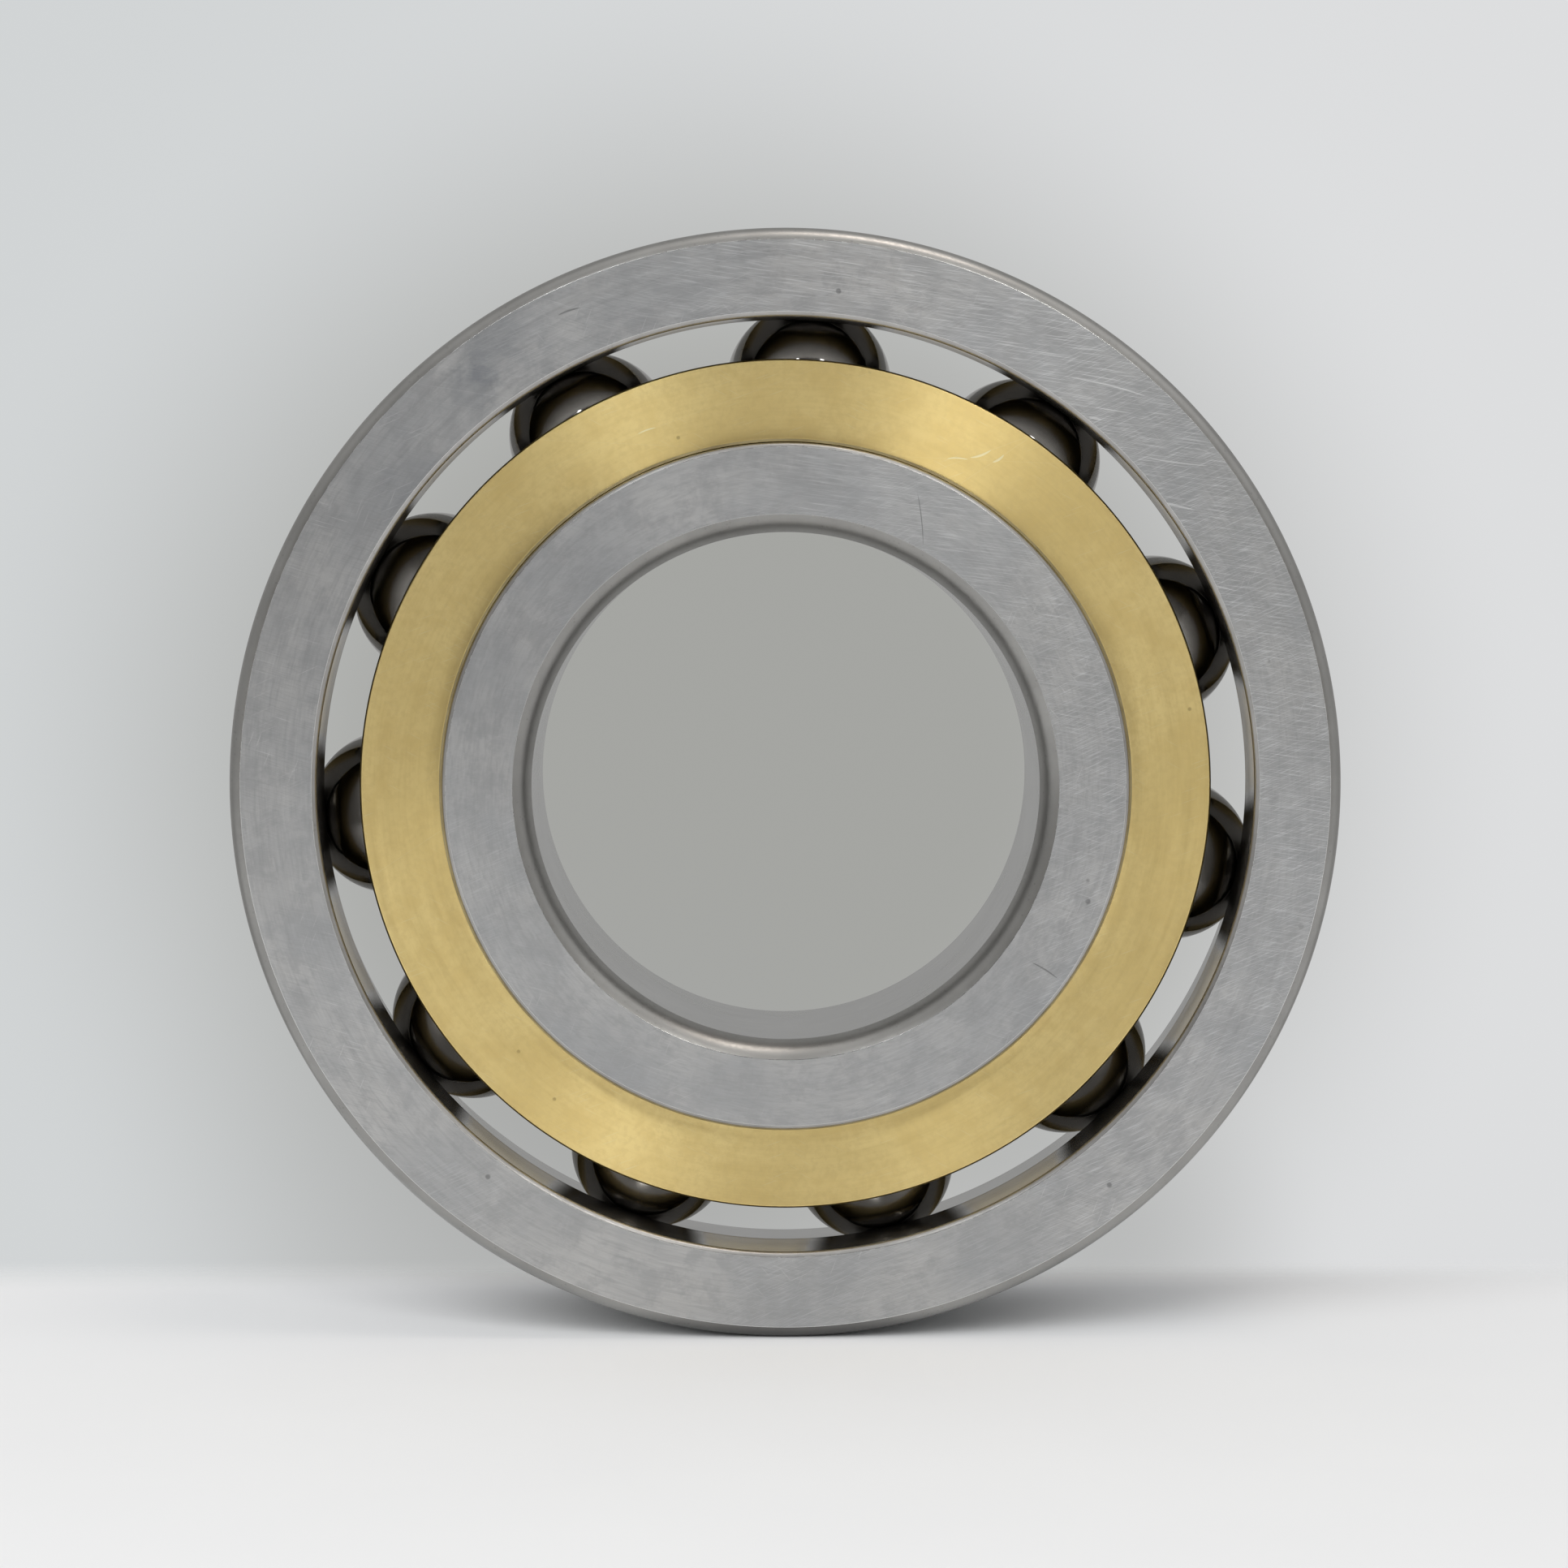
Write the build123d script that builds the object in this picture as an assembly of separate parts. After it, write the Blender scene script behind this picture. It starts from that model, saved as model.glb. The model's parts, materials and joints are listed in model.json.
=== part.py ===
from build123d import *
import os
from math import cos, radians, sin

# Single-row ball bearing with a machined one-piece cage.
# Lengths are in millimetres and angles in degrees.
# The bearing's axis is Y and its centre is the origin. The front, which has the
# high shoulder of the outer ring, faces -Y. The bearing stands on its rim at -Z.

# Boundary dimensions of the bearing
BORE_DIAMETER = 55.0
OUTSIDE_DIAMETER = 120.0
WIDTH = 29.0

# Balls
BALL_COUNT = 11
BALL_DIAMETER = 18.256
PITCH_DIAMETER = 87.2
FIRST_BALL_ANGLE = 21.1
CONTACT_ANGLE = 25.0
CONTACT_GAP = 0.05

# Raceway grooves
GROOVE_CONFORMITY = 0.52
GROOVE_EDGE_BLEND = 0.8

# Outer ring
OUTER_LAND_RADIUS = 50.5
OUTER_LAND_EDGE = 0.55
OUTER_RELIEF_START_RADIUS = 52.6
OUTER_RELIEF_END_RADIUS = 53.15
OUTER_RELIEF_EDGE = 0.5
OUTER_FRONT_CORNER_RADIAL = 1.3
OUTER_FRONT_CORNER_AXIAL = 1.6
OUTER_BACK_CORNER = 2.0
OUTER_CORNER_CROWN = 0.3

# Inner ring
INNER_LAND_RADIUS = 37.1
INNER_LAND_EDGE = 0.46
BORE_CORNER_RADIAL = 1.95
BORE_CORNER_AXIAL = 2.5
BORE_CORNER_CROWN = 0.38

# Cage
CAGE_BORE_RADIUS = 37.35
CAGE_OUTER_RADIUS = 46.1
CAGE_FACE_RECESS = 2.7
CAGE_EDGE = 0.2
POCKET_CLEARANCE = 0.2

# Derived sizes
HALF_WIDTH = WIDTH / 2
BORE_RADIUS = BORE_DIAMETER / 2
OUTSIDE_RADIUS = OUTSIDE_DIAMETER / 2
BALL_RADIUS = BALL_DIAMETER / 2
PITCH_RADIUS = PITCH_DIAMETER / 2
POCKET_RADIUS = BALL_RADIUS + POCKET_CLEARANCE
GROOVE_RADIUS = GROOVE_CONFORMITY * BALL_DIAMETER
GROOVE_OFFSET = GROOVE_RADIUS - BALL_RADIUS - CONTACT_GAP
GROOVE_SHIFT_RADIAL = GROOVE_OFFSET * cos(radians(CONTACT_ANGLE))
GROOVE_SHIFT_AXIAL = GROOVE_OFFSET * sin(radians(CONTACT_ANGLE))
CAGE_HALF_WIDTH = HALF_WIDTH - CAGE_FACE_RECESS


def axial_reach(radius, centre_radius):
    """Axial distance from a groove's centre to where it meets a cylinder."""
    return (GROOVE_RADIUS ** 2 - (radius - centre_radius) ** 2) ** 0.5


def straight_run(points):
    """Edges joining the points one after another."""
    return [Line(start, end) for start, end in zip(points, points[1:])]


def rounded_corner(start, end, corner, crown):
    """Edge from start to end that bulges towards the corner by the crown."""
    middle = (Vector(*start) + Vector(*end)) / 2
    outward = (Vector(*corner) - middle).normalized()
    return ThreePointArc(start, middle + outward * crown, end)


def turned(edges, blended_points=()):
    """Solid turned about Y from an outline of radius (X) against axial place (Y)."""
    outline = make_face(edges)
    for point in blended_points:
        vertex = outline.vertices().sort_by_distance(Vector(*point))[0]
        outline = fillet(vertex, GROOVE_EDGE_BLEND)
    return revolve(outline, axis=Axis.Y).solid()


def make_outer_ring():
    """Outer ring: high front shoulder, raceway, and a relieved back."""
    centre_radius = PITCH_RADIUS - GROOVE_SHIFT_RADIAL
    centre_axial = GROOVE_SHIFT_AXIAL
    land_end = (OUTER_LAND_RADIUS, centre_axial - axial_reach(OUTER_LAND_RADIUS, centre_radius))
    groove_bottom = (centre_radius + GROOVE_RADIUS, centre_axial)
    relief_reach = axial_reach(OUTER_RELIEF_START_RADIUS, centre_radius)
    relief_start = (OUTER_RELIEF_START_RADIUS, centre_axial + relief_reach)
    front_corner = (OUTSIDE_RADIUS, -HALF_WIDTH)
    back_corner = (OUTSIDE_RADIUS, HALF_WIDTH)
    front_face_end = (OUTSIDE_RADIUS - OUTER_FRONT_CORNER_RADIAL, -HALF_WIDTH)
    front_rim_start = (OUTSIDE_RADIUS, -HALF_WIDTH + OUTER_FRONT_CORNER_AXIAL)
    back_rim_end = (OUTSIDE_RADIUS, HALF_WIDTH - OUTER_BACK_CORNER)
    back_face_end = (OUTSIDE_RADIUS - OUTER_BACK_CORNER, HALF_WIDTH)
    edges = straight_run([
        land_end,
        (OUTER_LAND_RADIUS, -HALF_WIDTH + OUTER_LAND_EDGE),
        (OUTER_LAND_RADIUS + OUTER_LAND_EDGE, -HALF_WIDTH),
        front_face_end,
    ])
    edges.append(rounded_corner(front_face_end, front_rim_start, front_corner, OUTER_CORNER_CROWN))
    edges.append(Line(front_rim_start, back_rim_end))
    edges.append(rounded_corner(back_rim_end, back_face_end, back_corner, OUTER_CORNER_CROWN))
    edges += straight_run([
        back_face_end,
        (OUTER_RELIEF_END_RADIUS + OUTER_RELIEF_EDGE, HALF_WIDTH),
        (OUTER_RELIEF_END_RADIUS, HALF_WIDTH - OUTER_RELIEF_EDGE),
        relief_start,
    ])
    edges.append(ThreePointArc(relief_start, groove_bottom, land_end))
    return turned(edges, [land_end])


def make_inner_ring():
    """Inner ring: bore with rounded corners, two lands and the raceway between them."""
    centre_radius = PITCH_RADIUS + GROOVE_SHIFT_RADIAL
    centre_axial = -GROOVE_SHIFT_AXIAL
    reach = axial_reach(INNER_LAND_RADIUS, centre_radius)
    front_land_end = (INNER_LAND_RADIUS, centre_axial - reach)
    back_land_end = (INNER_LAND_RADIUS, centre_axial + reach)
    groove_bottom = (centre_radius - GROOVE_RADIUS, centre_axial)
    front_bore_start = (BORE_RADIUS, -HALF_WIDTH + BORE_CORNER_AXIAL)
    front_face_start = (BORE_RADIUS + BORE_CORNER_RADIAL, -HALF_WIDTH)
    back_bore_end = (BORE_RADIUS, HALF_WIDTH - BORE_CORNER_AXIAL)
    back_face_start = (BORE_RADIUS + BORE_CORNER_RADIAL, HALF_WIDTH)
    front_corner = (BORE_RADIUS, -HALF_WIDTH)
    back_corner = (BORE_RADIUS, HALF_WIDTH)
    edges = [
        Line(back_bore_end, front_bore_start),
        rounded_corner(front_bore_start, front_face_start, front_corner, BORE_CORNER_CROWN),
    ]
    edges += straight_run([
        front_face_start,
        (INNER_LAND_RADIUS - INNER_LAND_EDGE, -HALF_WIDTH),
        (INNER_LAND_RADIUS, -HALF_WIDTH + INNER_LAND_EDGE),
        front_land_end,
    ])
    edges.append(ThreePointArc(front_land_end, groove_bottom, back_land_end))
    edges += straight_run([
        back_land_end,
        (INNER_LAND_RADIUS, HALF_WIDTH - INNER_LAND_EDGE),
        (INNER_LAND_RADIUS - INNER_LAND_EDGE, HALF_WIDTH),
        back_face_start,
    ])
    edges.append(rounded_corner(back_face_start, back_bore_end, back_corner, BORE_CORNER_CROWN))
    return turned(edges, [front_land_end, back_land_end])


def ball_angle(index):
    """Angle of a ball around the bearing, from +X towards +Z."""
    return FIRST_BALL_ANGLE + index * 360 / BALL_COUNT


def outward_direction(index):
    """Unit vector from the bearing's axis out through a ball's centre."""
    angle = radians(ball_angle(index))
    return Vector(cos(angle), 0, sin(angle))


def make_pocket(index):
    """Space one ball runs in: a round seat that opens outwards as a straight bore."""
    outward = outward_direction(index)
    depth = OUTSIDE_RADIUS - PITCH_RADIUS
    outline = make_face([
        Line((0, -POCKET_RADIUS), (0, depth)),
        Line((0, depth), (POCKET_RADIUS, depth)),
        Line((POCKET_RADIUS, depth), (POCKET_RADIUS, 0)),
        CenterArc((0, 0), POCKET_RADIUS, -90, 90),
    ])
    upright = Plane.XZ.location * revolve(outline, axis=Axis.Y)
    placed = Plane(origin=outward * PITCH_RADIUS, x_dir=(0, 1, 0), z_dir=outward)
    return placed.location * upright


def make_cage():
    """Machined cage: a plain ring with one pocket bored for every ball."""
    corners = [
        (CAGE_BORE_RADIUS + CAGE_EDGE, -CAGE_HALF_WIDTH),
        (CAGE_OUTER_RADIUS - CAGE_EDGE, -CAGE_HALF_WIDTH),
        (CAGE_OUTER_RADIUS, -CAGE_HALF_WIDTH + CAGE_EDGE),
        (CAGE_OUTER_RADIUS, CAGE_HALF_WIDTH - CAGE_EDGE),
        (CAGE_OUTER_RADIUS - CAGE_EDGE, CAGE_HALF_WIDTH),
        (CAGE_BORE_RADIUS + CAGE_EDGE, CAGE_HALF_WIDTH),
        (CAGE_BORE_RADIUS, CAGE_HALF_WIDTH - CAGE_EDGE),
        (CAGE_BORE_RADIUS, -CAGE_HALF_WIDTH + CAGE_EDGE),
    ]
    cage = turned(straight_run(corners + corners[:1]))
    for index in range(BALL_COUNT):
        cage = cage - make_pocket(index)
    return cage.solid()


def make_ball(index):
    """One ball in its place on the pitch circle."""
    return (Pos(outward_direction(index) * PITCH_RADIUS) * Sphere(BALL_RADIUS)).solid()


def make_parts():
    """Every piece of the bearing under its own name."""
    parts = {
        "outer_ring": make_outer_ring(),
        "inner_ring": make_inner_ring(),
        "cage": make_cage(),
    }
    for index in range(BALL_COUNT):
        parts[f"ball_{index + 1:02d}"] = make_ball(index)
    return parts


os.makedirs("parts", exist_ok=True)
for name, solid in make_parts().items():
    export_step(solid, os.path.join("parts", f"{name}.step"))
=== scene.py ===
from collections import namedtuple
import json
import math

import bmesh
import bpy
import numpy as np
from mathutils import Matrix, Vector


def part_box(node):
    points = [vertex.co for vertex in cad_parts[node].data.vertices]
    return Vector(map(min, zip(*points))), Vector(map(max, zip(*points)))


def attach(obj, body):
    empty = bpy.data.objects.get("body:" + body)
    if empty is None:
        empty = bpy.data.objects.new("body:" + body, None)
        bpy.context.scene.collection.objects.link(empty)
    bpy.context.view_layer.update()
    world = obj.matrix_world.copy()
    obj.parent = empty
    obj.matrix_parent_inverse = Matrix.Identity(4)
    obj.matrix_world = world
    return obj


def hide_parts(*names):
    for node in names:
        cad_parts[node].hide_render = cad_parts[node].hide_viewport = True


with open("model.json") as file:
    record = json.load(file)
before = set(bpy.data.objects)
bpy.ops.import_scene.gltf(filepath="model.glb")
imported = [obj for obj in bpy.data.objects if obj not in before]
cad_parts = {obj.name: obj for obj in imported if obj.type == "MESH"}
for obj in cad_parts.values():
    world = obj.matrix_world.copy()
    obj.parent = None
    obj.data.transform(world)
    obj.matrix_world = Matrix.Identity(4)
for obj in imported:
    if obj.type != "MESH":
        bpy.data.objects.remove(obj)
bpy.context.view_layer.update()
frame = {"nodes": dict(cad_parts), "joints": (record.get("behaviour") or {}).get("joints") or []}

# Ball bearing, 55 x 120 x 29 mm. Metres, bearing axis Y, front faces -Y, stands on its rim.

MM = 0.001

# ---------------------------------------------------------------- sizes read from the frame
RING_LOW, RING_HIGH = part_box("outer_ring")
HALF_WIDTH = (RING_HIGH.y - RING_LOW.y) / 2
RIM_RADIUS = (RING_HIGH.z - RING_LOW.z) / 2
FLOOR_HEIGHT = RING_LOW.z
CAGE_LOW, CAGE_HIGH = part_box("cage")
CAGE_HALF_WIDTH = (CAGE_HIGH.y - CAGE_LOW.y) / 2
CAGE_OUTER = (CAGE_HIGH.z - CAGE_LOW.z) / 2
BALL_NAMES = sorted(name for name in frame["nodes"] if name.startswith("ball_"))
BALL_LOW, BALL_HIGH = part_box(BALL_NAMES[0])
BALL_RADIUS = (BALL_HIGH.y - BALL_LOW.y) / 2

# ---------------------------------------------------------------- sizes of the turned shapes
# Corners are (radial, axial). The cage's bore is 0.12 mm inside the CAD's, for the thin gap in the photo.
PITCH_RADIUS = 43.6 * MM
CONFORMITY = 0.52
GROOVE_RADIUS = CONFORMITY * 2 * BALL_RADIUS
CONTACT_ANGLE = math.radians(25)
CONTACT_GAP = 0.05 * MM
GROOVE_OFFSET = GROOVE_RADIUS - BALL_RADIUS - CONTACT_GAP
SHIFT_RADIAL = GROOVE_OFFSET * math.cos(CONTACT_ANGLE)
SHIFT_AXIAL = GROOVE_OFFSET * math.sin(CONTACT_ANGLE)
BORE_RADIUS = 27.5 * MM
INNER_LAND = 37.1 * MM
INNER_LAND_EDGE = 0.46 * MM
BORE_CORNER = (1.95 * MM, 2.5 * MM)
OUTER_LAND = 50.5 * MM
OUTER_LAND_EDGE = 0.55 * MM
RELIEF_START = 52.6 * MM
RELIEF_END = 53.15 * MM
RELIEF_EDGE = 0.5 * MM
FRONT_CORNER = (1.3 * MM, 1.6 * MM)
BACK_CORNER = (2.0 * MM, 2.0 * MM)
CAGE_BORE = 37.23 * MM
CAGE_EDGE = 0.2 * MM
CAGE_BORE_EDGE = 0.34 * MM
CAGE_BORE_EDGE_DEPTH = 0.08 * MM
POCKET_GAP = 0.2 * MM
POCKET_RADIUS = BALL_RADIUS + POCKET_GAP
OUTER_CORNER_CROWN = 0.3 * MM
BORE_CORNER_CROWN = 0.38 * MM
RELIEF_EDGE_CROWN = 0.1 * MM
OUTER_LAND_EDGE_CROWN = 0.12 * MM
INNER_LAND_EDGE_CROWN = 0.11 * MM
OUTER_RACEWAY_BLEND = 0.8 * MM
OUTER_RACEWAY_CROWN = 0.22 * MM
INNER_RACEWAY_BLEND = 0.5 * MM
INNER_RACEWAY_CROWN = 0.15 * MM
EDGE_ROUND = 0.11 * MM
EDGE_REACH = 1.3
NEIGHBOUR_SHARE = 0.4
SHARP_TURN = math.radians(14)
WELD_DISTANCE = 1e-7

# ---------------------------------------------------------------- how finely the shapes are divided
ROUND_SEGMENTS = 360
GROOVE_STEPS = 48
CORNER_STEPS = 9
LAND_STEPS = 7
RELIEF_STEPS = 5
BALL_AROUND = 96
BALL_DOWN = 64


# ---------------------------------------------------------------- turned shapes
def curve(start, knee, end, places):
    """Points of a parabola from start to end that leaves towards the knee, at places from 0 to 1."""
    return [start * (1 - t) ** 2 + knee * 2 * t * (1 - t) + end * t * t for t in places]


def crowned(start, end, corner, crown, steps=CORNER_STEPS):
    """Points of a rounded corner from start to end that bulges towards the corner."""
    a, b, c = Vector(start), Vector(end), Vector(corner)
    middle = (a + b) / 2
    peak = middle + (c - middle).normalized() * crown * 2
    return [tuple(point) for point in curve(a, peak, b, np.linspace(0, 1, steps))]


def softened(points, zones, radius, edge_zone):
    """The closed outline with every sharp corner rounded. zones[i] lies between points i and i + 1."""
    new_points, new_zones = [], []
    count = len(points)
    for i, point in enumerate(points):
        before = Vector(points[i - 1])
        here = Vector(point)
        after = Vector(points[(i + 1) % count])
        towards, away = here - before, after - here
        turn = towards.angle(away)
        if turn < SHARP_TURN:
            new_points.append(tuple(here))
            new_zones.append(zones[i])
            continue
        room = NEIGHBOUR_SHARE * min(towards.length, away.length)
        reach = min(radius * math.tan(turn / 2) * EDGE_REACH, room)
        start = here - towards.normalized() * reach
        end = here + away.normalized() * reach
        for rounded in curve(start, here, end, (0, 0.25, 0.5, 0.75)):
            new_points.append(tuple(rounded))
            new_zones.append(edge_zone)
        new_points.append(tuple(end))
        new_zones.append(zones[i])
    return new_points, new_zones


def set_area_normals(mesh):
    """Vertex normals weighted by face area, so flat faces stay flat up to their rounded edges."""
    count = len(mesh.polygons)
    normals = np.empty(count * 3)
    areas = np.empty(count)
    mesh.polygons.foreach_get("normal", normals)
    mesh.polygons.foreach_get("area", areas)
    weighted = normals.reshape(-1, 3) * areas[:, None]
    loop_face = np.repeat(np.arange(count), [p.loop_total for p in mesh.polygons])
    loop_vertex = np.empty(len(mesh.loops), int)
    mesh.loops.foreach_get("vertex_index", loop_vertex)
    total = np.zeros((len(mesh.vertices), 3))
    np.add.at(total, loop_vertex, weighted[loop_face])
    total /= np.maximum(np.linalg.norm(total, axis=1), 1e-20)[:, None]
    mesh.shade_smooth()
    mesh.normals_split_custom_set_from_vertices(total.tolist())


def finish_mesh(name, bm, materials):
    """Object from a bmesh, closed, facing outwards, with its materials and normals."""
    bmesh.ops.remove_doubles(bm, verts=bm.verts, dist=WELD_DISTANCE)
    bmesh.ops.recalc_face_normals(bm, faces=bm.faces)
    mesh = bpy.data.meshes.new(name)
    bm.to_mesh(mesh)
    bm.free()
    for material in materials:
        mesh.materials.append(material)
    set_area_normals(mesh)
    piece = bpy.data.objects.new(name, mesh)
    bpy.context.scene.collection.objects.link(piece)
    return piece


def turned_piece(name, points, zones, materials, zone_names):
    """Ring turned about Y from a closed outline of (radius, axial) points."""
    points, zones = softened(points, zones, EDGE_ROUND, "edge")
    bm = bmesh.new()
    rings = []
    for k in range(ROUND_SEGMENTS):
        a = 2 * math.pi * k / ROUND_SEGMENTS
        rings.append([bm.verts.new((r * math.cos(a), y, r * math.sin(a))) for r, y in points])
    count = len(points)
    for k in range(ROUND_SEGMENTS):
        one, two = rings[k], rings[(k + 1) % ROUND_SEGMENTS]
        for i in range(count):
            j = (i + 1) % count
            face = bm.faces.new((one[i], two[i], two[j], one[j]))
            face.material_index = zone_names.index(zones[i])
    return finish_mesh(name, bm, materials)


def joined_outline(parts):
    """Closed outline and its zones from (zone, points) runs that follow on from each other."""
    points, zones = [], []
    for zone, run in parts:
        for point in run[:-1]:
            points.append(point)
            zones.append(zone)
    return points, zones


def groove(centre, reach_start, reach_end, sign):
    """Raceway arc between two axial places. sign is 1 when it opens inwards."""
    start = math.asin((reach_start - centre[1]) / GROOVE_RADIUS)
    end = math.asin((reach_end - centre[1]) / GROOVE_RADIUS)
    return [
        (centre[0] + sign * GROOVE_RADIUS * math.cos(a), centre[1] + GROOVE_RADIUS * math.sin(a))
        for a in np.linspace(start, end, GROOVE_STEPS)
    ]


def axial_reach(radius, centre_radius):
    """Axial distance from a groove's centre to where it meets a cylinder."""
    return math.sqrt(GROOVE_RADIUS ** 2 - (radius - centre_radius) ** 2)


def outer_outline():
    """Outer ring: land, raceway, relieved back, back face, rim and front face."""
    centre = (PITCH_RADIUS - SHIFT_RADIAL, SHIFT_AXIAL)
    land_end = centre[1] - axial_reach(OUTER_LAND, centre[0])
    relief_start = centre[1] + axial_reach(RELIEF_START, centre[0])
    raceway = groove(centre, land_end + 0.55 * OUTER_RACEWAY_BLEND, relief_start, 1)
    before = (OUTER_LAND, land_end - OUTER_RACEWAY_BLEND)
    blended = crowned(before, raceway[0], (OUTER_LAND, land_end), OUTER_RACEWAY_CROWN, LAND_STEPS)
    front_face_end = (RIM_RADIUS - FRONT_CORNER[0], -HALF_WIDTH)
    rim_front = (RIM_RADIUS, -HALF_WIDTH + FRONT_CORNER[1])
    rim_back = (RIM_RADIUS, HALF_WIDTH - BACK_CORNER[1])
    back_face_end = (RIM_RADIUS - BACK_CORNER[0], HALF_WIDTH)
    relief_edge = (RELIEF_END + RELIEF_EDGE, HALF_WIDTH)
    relief_end = (RELIEF_END, HALF_WIDTH - RELIEF_EDGE)
    relief_peak = (RELIEF_END, HALF_WIDTH)
    relief_corner = crowned(relief_end, relief_edge, relief_peak, RELIEF_EDGE_CROWN, RELIEF_STEPS)
    land_edge = (OUTER_LAND + OUTER_LAND_EDGE, -HALF_WIDTH)
    land_start = (OUTER_LAND, -HALF_WIDTH + OUTER_LAND_EDGE)
    land_peak = (OUTER_LAND, -HALF_WIDTH)
    land_corner = crowned(land_edge, land_start, land_peak, OUTER_LAND_EDGE_CROWN, LAND_STEPS)
    return joined_outline([
        ("honed", blended),
        ("honed", raceway),
        ("ground", [raceway[-1], relief_end]),
        ("corner", relief_corner),
        ("face", [relief_edge, back_face_end]),
        ("corner", crowned(back_face_end, rim_back, (RIM_RADIUS, HALF_WIDTH), OUTER_CORNER_CROWN)),
        ("ground", [rim_back, rim_front]),
        ("corner", crowned(rim_front, front_face_end, (RIM_RADIUS, -HALF_WIDTH), OUTER_CORNER_CROWN)),
        ("face", [front_face_end, land_edge]),
        ("land_edge", land_corner),
        ("land", [land_start, blended[0]]),
    ])


def inner_outline():
    """Inner ring: bore, front face, front land, raceway, back land and back face."""
    centre = (PITCH_RADIUS + SHIFT_RADIAL, -SHIFT_AXIAL)
    reach = axial_reach(INNER_LAND, centre[0])
    blend = INNER_RACEWAY_BLEND
    raceway = groove(centre, centre[1] - reach + 0.5 * blend, centre[1] + reach - 0.5 * blend, -1)
    front_corner = (INNER_LAND, centre[1] - reach)
    back_corner = (INNER_LAND, centre[1] + reach)
    before = (INNER_LAND, front_corner[1] - blend)
    after = (INNER_LAND, back_corner[1] + blend)
    front_blend = crowned(before, raceway[0], front_corner, INNER_RACEWAY_CROWN, LAND_STEPS)
    back_blend = crowned(raceway[-1], after, back_corner, INNER_RACEWAY_CROWN, LAND_STEPS)
    bore_front = (BORE_RADIUS, -HALF_WIDTH + BORE_CORNER[1])
    bore_back = (BORE_RADIUS, HALF_WIDTH - BORE_CORNER[1])
    face_front = (BORE_RADIUS + BORE_CORNER[0], -HALF_WIDTH)
    face_back = (BORE_RADIUS + BORE_CORNER[0], HALF_WIDTH)
    edge_front = (INNER_LAND - INNER_LAND_EDGE, -HALF_WIDTH)
    edge_back = (INNER_LAND - INNER_LAND_EDGE, HALF_WIDTH)
    land_front = (INNER_LAND, -HALF_WIDTH + INNER_LAND_EDGE)
    land_back = (INNER_LAND, HALF_WIDTH - INNER_LAND_EDGE)
    peak_front = (INNER_LAND, -HALF_WIDTH)
    peak_back = (INNER_LAND, HALF_WIDTH)
    return joined_outline([
        ("ground", [bore_back, bore_front]),
        ("corner", crowned(bore_front, face_front, (BORE_RADIUS, -HALF_WIDTH), BORE_CORNER_CROWN)),
        ("face", [face_front, edge_front]),
        ("land_edge", crowned(edge_front, land_front, peak_front, INNER_LAND_EDGE_CROWN, LAND_STEPS)),
        ("land", [land_front, front_blend[0]]),
        ("honed", front_blend),
        ("honed", raceway),
        ("honed", back_blend),
        ("land", [back_blend[-1], land_back]),
        ("land_edge", crowned(land_back, edge_back, peak_back, INNER_LAND_EDGE_CROWN, LAND_STEPS)),
        ("face", [edge_back, face_back]),
        ("corner", crowned(face_back, bore_back, (BORE_RADIUS, HALF_WIDTH), BORE_CORNER_CROWN)),
    ])


# ---------------------------------------------------------------- cage
SIDE_STEPS = 24
WALL_STEPS = 8
HALVINGS = 40  # enough to find the end of a pocket's wall to the last digit
MOUTH_ROUND = 0.18 * MM
CAGE_EDGE_ROUND = 0.05 * MM


def sector_frame():
    """Places around one pocket's sector: (angle from the pocket, axial place) on its border."""
    half = math.pi / len(BALL_NAMES)
    reach = CAGE_HALF_WIDTH - CAGE_EDGE
    steps = np.linspace(-1, 1, SIDE_STEPS + 1)
    border = [(half * t, -reach) for t in steps[:-1]]
    border += [(half, reach * t) for t in steps[:-1]]
    border += [(-half * t, reach) for t in steps[:-1]]
    border += [(-half, -reach * t) for t in steps[:-1]]
    return border


def on_cylinder(radius, angle, y):
    """Point at a radius and an angle from +X towards +Z, at an axial place."""
    return Vector((radius * math.cos(angle), y, radius * math.sin(angle)))


def pocket_wall(turn):
    """Points down one line of a pocket's wall, from the cage's outside to its bore.

    The wall is straight down to the ball's centre and round from there, and ends where it meets the bore.
    """
    side, axial = POCKET_RADIUS * math.cos(turn), POCKET_RADIUS * math.sin(turn)
    wide = (POCKET_RADIUS + MOUTH_ROUND) / POCKET_RADIUS
    lip = on_cylinder(CAGE_OUTER, math.asin(side * wide / CAGE_OUTER), axial * wide)
    top = Vector((math.sqrt(CAGE_OUTER ** 2 - side ** 2) - MOUTH_ROUND, axial, side))
    knee = Vector((math.sqrt(CAGE_OUTER ** 2 - side ** 2), axial, side))
    line = curve(lip, knee, top, (0, 0.3, 0.6, 1))
    line.append(Vector((PITCH_RADIUS, axial, side)))
    low, high = 0.0, math.pi / 2
    for _ in range(HALVINGS):
        down = (low + high) / 2
        x = PITCH_RADIUS - POCKET_RADIUS * math.sin(down)
        outside_bore = math.hypot(x, side * math.cos(down)) > CAGE_BORE
        low, high = (down, high) if outside_bore else (low, down)
    for t in np.linspace(0, 1, WALL_STEPS + 1)[1:]:
        x = PITCH_RADIUS - POCKET_RADIUS * math.sin(down * t)
        flat = math.cos(down * t)
        line.append(Vector((x, axial * flat, side * flat)))
    return line


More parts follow.
